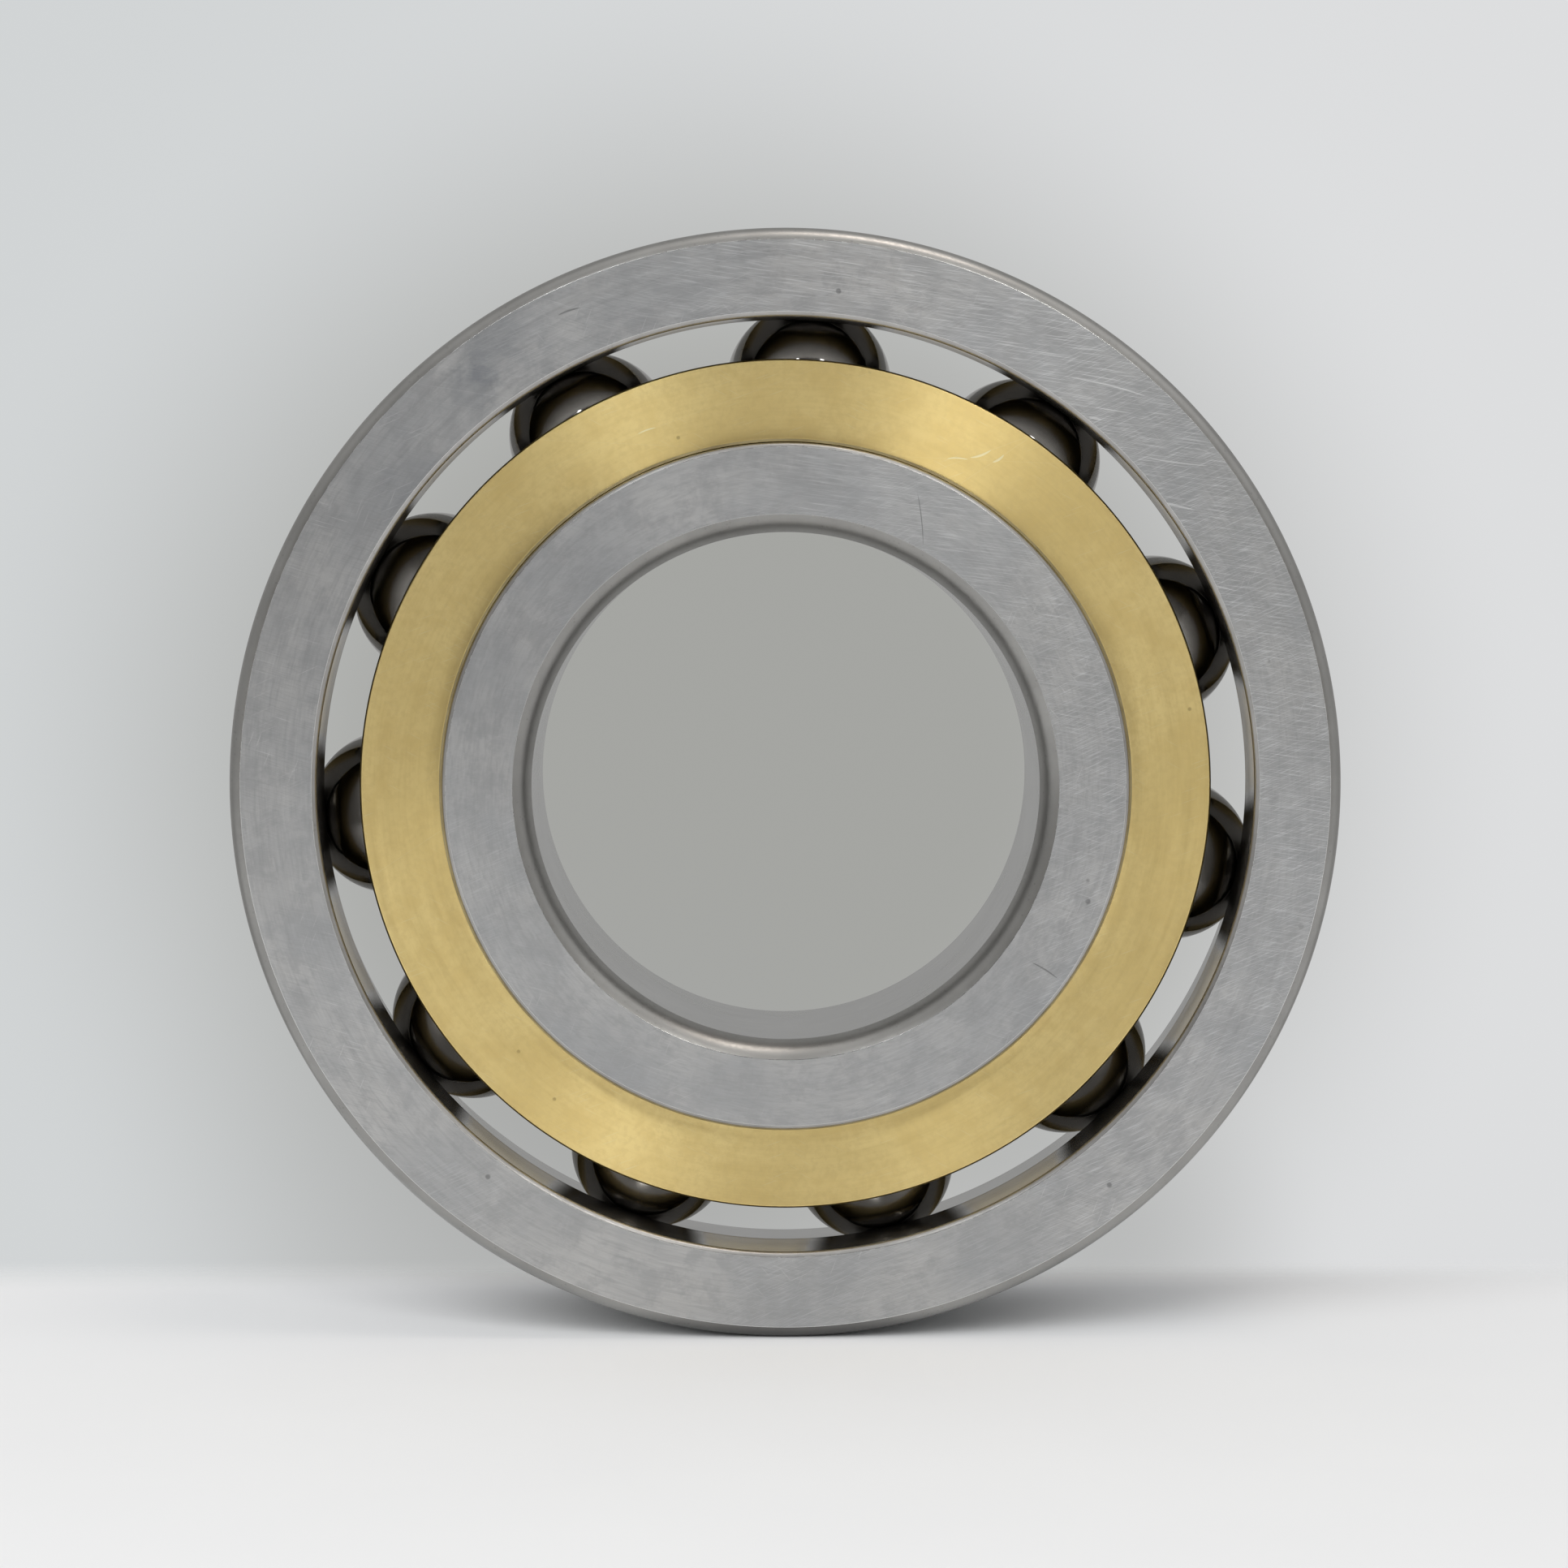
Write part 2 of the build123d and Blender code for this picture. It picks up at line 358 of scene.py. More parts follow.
def rounded_run(points, zones, radius):
    """Open run of points with its inner corners rounded."""
    new_points, new_zones = [points[0]], []
    for i in range(1, len(points) - 1):
        before, here, after = Vector(points[i - 1]), Vector(points[i]), Vector(points[i + 1])
        start = here + (before - here).normalized() * radius
        end = here + (after - here).normalized() * radius
        new_zones.append(zones[i - 1])
        for rounded in curve(start, here, end, (0, 0.33, 0.67)):
            new_points.append(tuple(rounded))
            new_zones.append("edge")
        new_points.append(tuple(end))
    new_points.append(points[-1])
    new_zones.append(zones[-1])
    return new_points, new_zones


def pocket_shells():
    """Runs of points from the border of a pocket's sector down the pocket and back along the bore."""
    shells = []
    for angle, y in sector_frame():
        wall = pocket_wall(math.atan2(y, CAGE_OUTER * angle))
        lip_angle = math.atan2(wall[0].z, wall[0].x)
        throat_angle = math.atan2(wall[-1].z, wall[-1].x)
        lip, throat = wall[0].y, wall[-1].y
        outside = [
            on_cylinder(CAGE_OUTER, angle + (lip_angle - angle) * t, y + (lip - y) * t)
            for t in (0, 0.35, 0.7)
        ]
        bore = [
            on_cylinder(CAGE_BORE, throat_angle + (angle - throat_angle) * t, throat + (y - throat) * t)
            for t in (0.35, 0.7, 1)
        ]
        shells.append(outside + wall + bore)
    return shells


def cage_side_run(side):
    """Run of (radius, axial) points and zones over one side face, from the outside to the bore."""
    run = [
        (CAGE_OUTER, side * (CAGE_HALF_WIDTH - CAGE_EDGE)),
        (CAGE_OUTER - CAGE_EDGE, side * CAGE_HALF_WIDTH),
        (CAGE_BORE + CAGE_BORE_EDGE, side * CAGE_HALF_WIDTH),
        (CAGE_BORE, side * (CAGE_HALF_WIDTH - CAGE_BORE_EDGE_DEPTH)),
        (CAGE_BORE, side * (CAGE_HALF_WIDTH - CAGE_EDGE)),
    ]
    return rounded_run(run, ["edge", "face", "worn", "worn"], CAGE_EDGE_ROUND)


def cage_piece(name, materials, zone_names, first_angle):
    """Machined cage: outside, bore, pockets and side faces in one closed mesh."""
    bm = bmesh.new()
    shells = pocket_shells()
    zone_of = ["turned"] * 3 + ["edge"] * 3 + ["bored"] * (WALL_STEPS + 1) + ["turned"] * 3
    for index in range(len(BALL_NAMES)):
        spin = Matrix.Rotation(-(first_angle + 2 * math.pi * index / len(BALL_NAMES)), 4, "Y")
        grid = [[bm.verts.new(spin @ p) for p in shell] for shell in shells]
        for one, two in zip(grid, grid[1:] + grid[:1]):
            for i in range(len(one) - 1):
                face = bm.faces.new((one[i], one[i + 1], two[i + 1], two[i]))
                face.material_index = zone_names.index(zone_of[i])
    around = len(BALL_NAMES) * SIDE_STEPS
    start = first_angle - math.pi / len(BALL_NAMES)
    for side in (-1, 1):
        run, zones = cage_side_run(side)
        rings = []
        for k in range(around):
            a = start + 2 * math.pi * k / around
            rings.append([bm.verts.new(on_cylinder(r, a, y)) for r, y in run])
        for one, two in zip(rings, rings[1:] + rings[:1]):
            for i, zone in enumerate(zones):
                face = bm.faces.new((one[i], two[i], two[i + 1], one[i + 1]))
                face.material_index = zone_names.index(zone)
    return finish_mesh(name, bm, materials)


# ---------------------------------------------------------------- balls
def ball_piece(name, centre, pole, materials):
    """Polished ball whose poles lie on its spin axis."""
    bm = bmesh.new()
    bmesh.ops.create_uvsphere(bm, u_segments=BALL_AROUND, v_segments=BALL_DOWN, radius=BALL_RADIUS)
    turn = pole.to_track_quat("Z", "Y").to_matrix().to_4x4()
    bmesh.ops.transform(bm, matrix=Matrix.Translation(centre) @ turn, verts=bm.verts)
    return finish_mesh(name, bm, materials)


# ---------------------------------------------------------------- node trees
class Tree:
    """Short calls for building one node tree."""

    def __init__(self, tree):
        self.tree = tree
        tree.nodes.clear()

    def add(self, kind, **settings):
        node = self.tree.nodes.new(kind)
        for key, value in settings.items():
            setattr(node, key, value)
        return node

    def put(self, socket, value):
        """Link a socket to another one, or give it a plain value."""
        if isinstance(value, bpy.types.NodeSocket):
            self.tree.links.new(value, socket)
        else:
            socket.default_value = value

    def math(self, operation, *values):
        node = self.add("ShaderNodeMath", operation=operation)
        for socket, value in zip(node.inputs, values):
            self.put(socket, value)
        return node.outputs[0]

    def times(self, a, b):
        return self.math("MULTIPLY", a, b)

    def plus(self, *values):
        total = values[0]
        for value in values[1:]:
            total = self.math("ADD", total, value)
        return total

    def minus(self, a, b):
        return self.math("SUBTRACT", a, b)

    def hypot(self, a, b):
        return self.math("SQRT", self.plus(self.times(a, a), self.times(b, b)))

    def vector(self, operation, a, b):
        node = self.add("ShaderNodeVectorMath", operation=operation)
        self.put(node.inputs[0], a)
        self.put(node.inputs[1], b)
        return node.outputs["Value" if operation == "DOT_PRODUCT" else "Vector"]

    def split(self, vector):
        node = self.add("ShaderNodeSeparateXYZ")
        self.put(node.inputs[0], vector)
        return node.outputs[0], node.outputs[1], node.outputs[2]

    def combine(self, x, y, z):
        node = self.add("ShaderNodeCombineXYZ")
        for socket, value in zip(node.inputs, (x, y, z)):
            self.put(socket, value)
        return node.outputs[0]

    def grey(self, value):
        return self.combine(value, value, value)

    def noise(self, vector, scale, detail, roughness):
        node = self.add("ShaderNodeTexNoise")
        self.put(node.inputs["Vector"], vector)
        node.inputs["Scale"].default_value = scale
        node.inputs["Detail"].default_value = detail
        node.inputs["Roughness"].default_value = roughness
        return node.outputs["Fac"]

    def spots(self, vector, scale):
        """Distance to the nearest of many scattered points."""
        node = self.add("ShaderNodeTexVoronoi")
        self.put(node.inputs["Vector"], vector)
        node.inputs["Scale"].default_value = scale
        return node.outputs["Distance"]

    def ramp(self, value, low, high, to_low=0.0, to_high=1.0, smooth=True):
        """value taken from low..high to to_low..to_high, and held beyond both ends."""
        node = self.add("ShaderNodeMapRange", interpolation_type="SMOOTHSTEP" if smooth else "LINEAR")
        for socket, given in zip(node.inputs, (value, low, high, to_low, to_high)):
            self.put(socket, given)
        return node.outputs[0]

    def blend(self, factor, a, b):
        """Colour a at factor 0, colour b at factor 1."""
        node = self.add("ShaderNodeMix", data_type="RGBA", clamp_factor=True)
        self.put(node.inputs["Factor"], factor)
        self.put(node.inputs[6], a)
        self.put(node.inputs[7], b)
        return node.outputs[2]

    def bump(self, height, depth):
        node = self.add("ShaderNodeBump")
        node.inputs["Strength"].default_value = 1.0
        node.inputs["Distance"].default_value = depth
        self.put(node.inputs["Height"], height)
        return node.outputs["Normal"]


def rgb(r, g, b):
    return (r, g, b, 1.0)


BLACK = rgb(0.0, 0.0, 0.0)
QUARTER_TURN = 0.25


def new_material(name):
    """A material, its node tree and its Principled shader."""
    material = bpy.data.materials.new(name)
    material.use_nodes = True
    tree = Tree(material.node_tree)
    shader = tree.add("ShaderNodeBsdfPrincipled")
    tree.put(tree.add("ShaderNodeOutputMaterial").inputs[0], shader.outputs[0])
    return material, tree, shader


# ---------------------------------------------------------------- parts of the metals
Surface = namedtuple("Surface", "place x y z radius cosine sine")


def lathe_coordinates(tree):
    """Where a surface point is, with its radius and its direction round the bearing's axis."""
    place = tree.add("ShaderNodeTexCoord").outputs["Object"]
    x, y, z = tree.split(place)
    radius = tree.hypot(x, z)
    return Surface(place, x, y, z, radius, tree.math("DIVIDE", x, radius), tree.math("DIVIDE", z, radius))


def turning_lines(tree, at, around, across, seed=0.0):
    """Noise drawn out round the axis, as turning and grinding leave it."""
    depth = tree.plus(tree.times(at.radius, across), tree.times(at.y, across * 1.3), seed)
    vector = tree.combine(tree.times(at.cosine, around), tree.times(at.sine, around), depth)
    return tree.noise(vector, 1.0, 2.0, 0.55)


def turned_axes(tree, at, angle, length, width):
    """Places along and across one direction of the side faces, in units of length and width."""
    cosine, sine = math.cos(angle), math.sin(angle)
    along = tree.plus(tree.times(at.x, cosine / length), tree.times(at.z, sine / length))
    across = tree.plus(tree.times(at.x, -sine / width), tree.times(at.z, cosine / width))
    return along, across


def hairlines(tree, at, angle, length, width, threshold, seed):
    """Dense fine lines along one direction, as a wiping cloth leaves them."""
    along, across = turned_axes(tree, at, angle, length, width)
    value = tree.noise(tree.combine(along, across, seed), 1.0, 1.0, 0.5)
    return tree.ramp(value, threshold, threshold + 0.16)


def scratches(tree, at, angle, length, width, seed):
    """Separate straight scratches along one direction, most of them faint.

    Each fills the core of one cell of a Voronoi pattern that is drawn out along the direction.
    """
    core = 0.09
    along, across = turned_axes(tree, at, angle, length / (2 * core), width / (2 * core))
    node = tree.add("ShaderNodeTexVoronoi", voronoi_dimensions="2D")
    node.inputs["Scale"].default_value = 1.0
    tree.put(node.inputs["Vector"], tree.combine(tree.plus(along, seed), across, 0.0))
    chance = tree.split(node.outputs["Color"])[0]
    depth = tree.ramp(chance, 0.25, 1.0, 0.05, 1.0)
    return tree.times(tree.ramp(node.outputs["Distance"], 0.03, core, 1.0, 0.0), depth)


def on_front(tree, at):
    """1 on the front half of the bearing, 0 on its back half."""
    return tree.math("LESS_THAN", at.y, 0.0)


def single_mark(tree, at, start, end, bow, width):
    """One scratch on the front, from start to end in mm, bowed sideways and thinner at its ends."""
    (x0, z0), (x1, z1) = start, end
    span = math.hypot(x1 - x0, z1 - z0)
    cosine, sine = (x1 - x0) / span, (z1 - z0) / span
    along, across = turned_axes(tree, at, math.atan2(sine, cosine), span * MM, MM)
    along = tree.minus(along, (x0 * cosine + z0 * sine) / span)
    across = tree.minus(across, z0 * cosine - x0 * sine)
    swell = tree.times(along, tree.times(tree.minus(1.0, along), 4.0))
    swell = tree.math("MAXIMUM", swell, 0.0)
    across = tree.math("ABSOLUTE", tree.minus(across, tree.times(swell, bow)))
    reach = tree.minus(tree.times(tree.math("SQRT", swell), width), across)
    return tree.times(tree.ramp(reach, -0.3 * width, 0.4 * width), on_front(tree, at))


def all_marks(tree, at, marks):
    """Every scratch of a list."""
    return tree.plus(*[single_mark(tree, at, *mark) for mark in marks])


def stain_and_shade_patch(tree, at, centre, radius, depth):
    """Soft uneven patch on the front, from 0 to depth, with its centre and radius in mm."""
    away = tree.hypot(tree.minus(at.x, centre[0] * MM), tree.minus(at.z, centre[1] * MM))
    uneven = tree.minus(tree.noise(at.place, 260.0, 4.0, 0.7), 0.5)
    away = tree.plus(away, tree.times(uneven, 1.6 * radius * MM))
    return tree.times(tree.ramp(away, 0.25 * radius * MM, radius * MM, depth, 0.0), on_front(tree, at))


def specks(tree, place, scale, size, cover_scale, cover):
    """Small pits at scattered points, in the regions that a wider noise picks."""
    spot = tree.ramp(tree.spots(place, scale), size[0], size[1], 1.0, 0.0)
    return tree.times(spot, tree.ramp(tree.noise(place, cover_scale, 1.0, 0.5), cover[0], cover[1]))


def clouded(tree, cloud, low, high):
    """Colour that wanders between two tones with a noise."""
    return tree.blend(tree.ramp(cloud, 0.3, 0.7), low, high)


def darker(tree, factor, colour, share):
    """The colour, with a share of black in it where the factor is 1."""
    return tree.blend(factor, colour, tree.blend(share, colour, BLACK))


def metal(tree, shader, colour, roughness, height, depth, metallic=1.0):
    """Metal of a colour and a roughness, with relief from a height between 0 and 1 and its depth."""
    tree.put(shader.inputs["Base Color"], colour)
    shader.inputs["Metallic"].default_value = metallic
    tree.put(shader.inputs["Roughness"], roughness)
    tree.put(shader.inputs["Normal"], tree.bump(height, depth))


def draw_out(tree, shader, amount):
    """Draws the highlights out across the turning lines."""
    shader.inputs["Anisotropic"].default_value = amount
    shader.inputs["Anisotropic Rotation"].default_value = QUARTER_TURN
    round_axis = tree.add("ShaderNodeTangent", direction_type="RADIAL", axis="Y")
    tree.put(shader.inputs["Tangent"], round_axis.outputs[0])


# ---------------------------------------------------------------- steel
# Scratches on the front: (start, end, bow, width), with each place as (x, z), all in mm.
BRIGHT_MARKS = [
    ((33.2, 31.6), (43.7, 29.9), 0.25, 0.13),
    ((36.4, 27.8), (40.2, 27.1), 0.1, 0.12),
    ((32.4, 39.8), (33.8, 39.5), 0.0, 0.14),
    ((30.5, 44.0), (38.5, 42.0), 0.2, 0.08),
    ((39.0, 35.4), (45.2, 34.6), -0.1, 0.08),
    ((41.0, 22.6), (48.3, 21.2), 0.15, 0.09),
]
DARK_MARKS = [
    ((14.1, 31.6), (14.7, 26.2), 0.12, 0.06),
    ((-24.3, 50.6), (-21.9, 51.4), 0.1, 0.1),
    ((26.6, -18.9), (29.3, -20.6), 0.1, 0.09),
]

# Dull stains on the front of the outer ring, which also paint the shade that falls on its upper left:
# (centre as (x, z), radius) in mm, and strength.
STAINS_AND_SHADE = [
    ((-31.0, 47.5), 7.0, 0.55),
    ((-33.5, 42.8), 4.5, 0.45),
    ((-40.5, 33.0), 6.0, 0.3),
    ((-16.5, 51.5), 5.0, 0.25),
]

# Directions in which the side faces were wiped and scratched, in radians from +X towards +Z.
WIPED_WAY = -0.13
LONG_WAY = -0.16
SMEARED_WAY = -0.3
CROSSED_WAY = 0.42
STEEP_DOWN_WAY = -0.85
STEEP_UP_WAY = 1.2


def face_scratches(tree, at, patch_a, patch_b, upper_right):
    """All bright scratches of a steel side face: long ones, loose ones and the listed ones."""
    long_ones = tree.times(scratches(tree, at, LONG_WAY, 5.5 * MM, 0.13 * MM, 3.0), upper_right)
    loose = tree.plus(
        scratches(tree, at, SMEARED_WAY, 3.2 * MM, 0.11 * MM, 17.0),
        scratches(tree, at, CROSSED_WAY, 3.6 * MM, 0.11 * MM, 29.0),
        tree.times(scratches(tree, at, STEEP_DOWN_WAY, 2.4 * MM, 0.1 * MM, 41.0), patch_b),
        tree.times(scratches(tree, at, STEEP_UP_WAY, 2.6 * MM, 0.1 * MM, 53.0), patch_a),
    )
    loose = tree.times(loose, tree.times(patch_a, 0.6))
    return tree.plus(long_ones, loose, all_marks(tree, at, BRIGHT_MARKS))


def face_wiping(tree, at, patch_b, upper_right):
    """(wiped, crossed) hairlines of a steel side face, the second ones mostly at its right."""
    wiped = tree.times(hairlines(tree, at, WIPED_WAY, 4 * MM, 0.1 * MM, 0.52, 3.0), upper_right)
    right_side = tree.ramp(at.x, 20 * MM, 33 * MM)
    crossed = hairlines(tree, at, CROSSED_WAY, 3 * MM, 0.1 * MM, 0.53, 8.0)
    crossed = tree.times(crossed, tree.math("MAXIMUM", tree.times(patch_b, 0.5), right_side))
    return wiped, crossed


def steel_face():
    """Ground side face: lay round the axis, wiping lines, scratches, faint clouds and small dents."""
    material, tree, shader = new_material("steel_face")
    at = lathe_coordinates(tree)
    fine = turning_lines(tree, at, 9.0, 4200.0)
    broad = turning_lines(tree, at, 4.0, 900.0, 31.0)
    arcs = tree.ramp(turning_lines(tree, at, 16.0, 2600.0, 57.0), 0.48, 0.66)
    cloud = tree.noise(at.place, 60.0, 4.0, 0.66)
    mottle = tree.noise(at.place, 330.0, 4.0, 0.7)
    patch_a = tree.ramp(tree.noise(at.place, 40.0, 1.0, 0.5), 0.4, 0.62, 0.15, 1.0)
    elsewhere = tree.vector("ADD", at.place, (0.4, 0.1, 0.7))
    patch_b = tree.ramp(tree.noise(elsewhere, 55.0, 1.0, 0.5), 0.42, 0.62)
    upper_right = tree.plus(tree.times(at.x, 0.75), tree.times(at.z, 0.66))
    upper_right = tree.ramp(upper_right, 8 * MM, 44 * MM, 0.12, 1.0)
    wiped, crossed = face_wiping(tree, at, patch_b, upper_right)
    smeared = tree.times(hairlines(tree, at, SMEARED_WAY, 3.5 * MM, 0.12 * MM, 0.5, 13.0), patch_a)
    bright = face_scratches(tree, at, patch_a, patch_b, upper_right)
    pits = specks(tree, at.place, 260.0, (0.05, 0.1), 120.0, (0.6, 0.66))
    colour = clouded(tree, cloud, rgb(0.435, 0.443, 0.45), rgb(0.575, 0.57, 0.558))
    colour = tree.blend(tree.ramp(mottle, 0.44, 0.64, 0.0, 0.6), colour, rgb(0.41, 0.412, 0.414))
    colour = tree.blend(tree.times(tree.ramp(fine, 0.35, 0.7), 0.22), colour, rgb(0.37, 0.37, 0.37))
    dulled = tree.plus(tree.times(smeared, 0.4), tree.times(arcs, 0.35))
    colour = tree.blend(dulled, colour, rgb(0.385, 0.387, 0.388))
    # Stains that are partly painted shade, darkening the upper left of the outer ring's face.
    stains_and_shade = tree.plus(*[stain_and_shade_patch(tree, at, *patch) for patch in STAINS_AND_SHADE])
    colour = tree.blend(stains_and_shade, colour, rgb(0.3, 0.31, 0.325))
    lines = tree.plus(tree.times(wiped, 0.55), tree.times(crossed, 0.5))
    colour = tree.blend(lines, colour, rgb(0.72, 0.725, 0.73))
    colour = tree.blend(tree.times(bright, 0.52), colour, rgb(0.86, 0.86, 0.86))
    dark = tree.plus(pits, all_marks(tree, at, DARK_MARKS))
    colour = tree.blend(tree.times(dark, 0.6), colour, rgb(0.16, 0.16, 0.16))
    height = tree.plus(tree.times(fine, 0.6), tree.times(broad, 0.8))
    height = tree.minus(height, tree.times(bright, 0.6))
    height = tree.minus(height, tree.times(pits, 1.5))
    roughness = tree.plus(tree.ramp(broad, 0.25, 0.75, 0.34, 0.44), tree.times(wiped, 0.06))
    metal(tree, shader, colour, roughness, height, 0.006 * MM)
    draw_out(tree, shader, 0.6)
    return material


def steel_round(name, roughness, low, high, depth, painted_recess_shade=False):
    """Ground cylinder, such as the rim, the bore and the lands. With the last argument set, painted shade
    darkens it deep in the recess towards the raceway, less so low on the ring, where more light falls.
    """
    material, tree, shader = new_material(name)
    at = lathe_coordinates(tree)
    fine = turning_lines(tree, at, 7.0, 5200.0)
    broad = turning_lines(tree, at, 3.0, 1900.0, 11.0)
    cloud = tree.noise(at.place, 90.0, 4.0, 0.65)
    colour = clouded(tree, cloud, low, high)
    colour = darker(tree, tree.times(tree.ramp(fine, 0.4, 0.7), 0.3), colour, 0.28)
    colour = darker(tree, tree.times(tree.ramp(broad, 0.5, 0.68), 0.5), colour, 0.22)
    if painted_recess_shade:
        # Painted shade deep in the recess by the raceway, weaker on the lower part of the ring, where
        # light falls on the land.
        recess_shade = tree.ramp(tree.math("ABSOLUTE", at.y), 9.5 * MM, 13 * MM, 1.0, 0.0, False)
        recess_shade = tree.times(recess_shade, tree.ramp(at.z, -45 * MM, -10 * MM, 0.6, 1.0))
        colour = tree.blend(recess_shade, colour, rgb(0.14, 0.132, 0.122))
    height = tree.plus(tree.times(fine, 0.7), tree.times(broad, 0.6))
    uneven = tree.ramp(cloud, 0.25, 0.75, roughness - 0.04, roughness + 0.05)
    metal(tree, shader, colour, uneven, height, depth)
    draw_out(tree, shader, 0.4)
    return material


def steel_corner(name, low, high):
    """Rounded corner left as tumbled: finely pitted, darker than the faces, with painted shade where it
    stands on the floor.
    """
    material, tree, shader = new_material(name)
    at = lathe_coordinates(tree)
    grain = tree.noise(at.place, 2600.0, 3.0, 0.65)
    cloud = tree.noise(at.place, 110.0, 3.0, 0.6)
    pits = specks(tree, at.place, 1500.0, (0.1, 0.28), 400.0, (0.5, 0.62))
    colour = darker(tree, tree.times(pits, 0.3), clouded(tree, cloud, low, high), 0.45)
    # Painted shade on the lowest part of the rim's corners, where the ring stands on the floor.
    painted_contact_shade = tree.ramp(at.z, -59.6 * MM, -56.2 * MM, 0.6, 0.0)
    colour = tree.blend(painted_contact_shade, colour, BLACK)
    height = tree.minus(tree.times(grain, 0.8), tree.times(pits, 0.5))
    metal(tree, shader, colour, tree.ramp(grain, 0.3, 0.7, 0.3, 0.4), height, 0.0017 * MM)
    return material


def steel_edge():
    """Broken edge: worn bright, but only a little beside the bore."""
    material, tree, shader = new_material("steel_edge")
    at = lathe_coordinates(tree)
    wear = tree.noise(at.place, 700.0, 2.0, 0.6)
    colour = tree.blend(wear, rgb(0.56, 0.56, 0.55), rgb(0.78, 0.78, 0.77))
    by_bore = tree.ramp(at.radius, BORE_RADIUS + 3 * MM, BORE_RADIUS + 6 * MM, 0.6, 0.0)
    colour = tree.blend(by_bore, colour, rgb(0.26, 0.26, 0.255))
    metal(tree, shader, colour, tree.ramp(wear, 0.3, 0.7, 0.18, 0.34), wear, 0.003 * MM)
    return material


def ball_steel():
    """Polished ball with a trace of haze and hair-fine marks."""
    material, tree, shader = new_material("ball_polish")
    place = tree.add("ShaderNodeTexCoord").outputs["Object"]
    haze = tree.noise(place, 260.0, 3.0, 0.6)
    drawn = tree.vector("MULTIPLY", place, (300.0, 2600.0, 900.0))
    hair = tree.ramp(tree.noise(drawn, 1.0, 2.0, 0.6), 0.6, 0.72)
    colour = clouded(tree, haze, rgb(0.27, 0.26, 0.245), rgb(0.32, 0.31, 0.295))
    roughness = tree.plus(tree.ramp(haze, 0.3, 0.7, 0.045, 0.09), tree.times(hair, 0.05))
    metal(tree, shader, colour, roughness, tree.plus(haze, hair), 0.0004 * MM)
    return material


# ---------------------------------------------------------------- brass
# Scratches on the cage's front, as for the steel.
CAGE_MARKS = [
    ((19.9, 35.5), (22.1, 36.3), -0.16, 0.12),
    ((22.3, 35.0), (23.5, 35.8), -0.12, 0.13),
    ((17.4, 35.4), (19.6, 35.3), 0.1, 0.08),
    ((-15.9, 38.0), (-14.0, 38.7), 0.1, 0.08),
]


def brass(name, roughness, stretch, depth, around, across, marked=False):
    """Turned brass with fine lines round the axis and a little tarnish."""
    material, tree, shader = new_material(name)
    at = lathe_coordinates(tree)
    fine = turning_lines(tree, at, around, across)
    broad = turning_lines(tree, at, 2.5, 700.0, 7.0)
    cloud = tree.noise(at.place, 42.0, 3.0, 0.6)
    mottle = tree.noise(at.place, 260.0, 4.0, 0.68)
    grain = tree.noise(at.place, 1500.0, 3.0, 0.65)
    colour = clouded(tree, cloud, rgb(0.86, 0.665, 0.275), rgb(0.97, 0.775, 0.35))
    colour = tree.blend(tree.ramp(mottle, 0.42, 0.66, 0.0, 0.6), colour, rgb(0.83, 0.63, 0.255))
    colour = tree.blend(tree.ramp(grain, 0.42, 0.66, 0.0, 0.5), colour, rgb(0.82, 0.63, 0.27))
    colour = tree.blend(tree.times(tree.ramp(fine, 0.4, 0.7), 0.2), colour, rgb(0.74, 0.56, 0.22))
    tarnish = specks(tree, at.place, 330.0, (0.04, 0.09), 150.0, (0.58, 0.64))
    colour = tree.blend(tree.times(tarnish, 0.5), colour, rgb(0.3, 0.2, 0.08))
    height = tree.plus(tree.times(fine, 0.7), tree.times(broad, 0.6), tree.times(grain, 0.5))
    if marked:
        hair = tree.plus(
            tree.times(scratches(tree, at, 0.35, 2.6 * MM, 0.1 * MM, 5.0), 0.35),
            tree.times(scratches(tree, at, -0.5, 2.2 * MM, 0.1 * MM, 15.0), 0.3),
        )
        marks = all_marks(tree, at, CAGE_MARKS)
        colour = tree.blend(tree.times(tree.plus(hair, marks), 0.7), colour, rgb(1.0, 0.93, 0.62))
        height = tree.minus(height, marks)
    uneven = tree.ramp(broad, 0.25, 0.75, roughness - 0.04, roughness + 0.05)
    metal(tree, shader, colour, uneven, height, depth)
    draw_out(tree, shader, stretch)
    return material


def dull_brass():
    """Oily broken edge of the cage's bore."""
    material, tree, shader = new_material("brass_dull")
    place = tree.add("ShaderNodeTexCoord").outputs["Object"]
    cloud = tree.noise(place, 160.0, 3.0, 0.6)
    grain = tree.noise(place, 1800.0, 2.0, 0.6)
    colour = clouded(tree, cloud, rgb(0.36, 0.29, 0.155), rgb(0.6, 0.5, 0.27))
    metal(tree, shader, colour, tree.ramp(grain, 0.3, 0.7, 0.35, 0.55), grain, 0.004 * MM, 0.6)
    return material


# ---------------------------------------------------------------- build the bearing
# The materials of a mesh, in the order of its zones.
STEEL_ZONES = ["face", "ground", "corner", "honed", "edge", "land", "land_edge"]
STEEL = [
    steel_face(),
    steel_round("steel_ground", 0.24, rgb(0.43, 0.43, 0.42), rgb(0.5, 0.5, 0.49), 0.004 * MM),
    steel_corner("steel_corner", rgb(0.31, 0.305, 0.293), rgb(0.37, 0.364, 0.35)),
    steel_round("steel_honed", 0.2, rgb(0.17, 0.163, 0.155), rgb(0.22, 0.212, 0.202), 0.001 * MM),
    steel_edge(),
    steel_round("steel_land", 0.2, rgb(0.5, 0.495, 0.48), rgb(0.6, 0.59, 0.575), 0.003 * MM, True),
    steel_corner("steel_land_edge", rgb(0.36, 0.352, 0.34), rgb(0.46, 0.45, 0.435)),
]
BRASS_ZONES = ["face", "turned", "bored", "edge", "worn"]
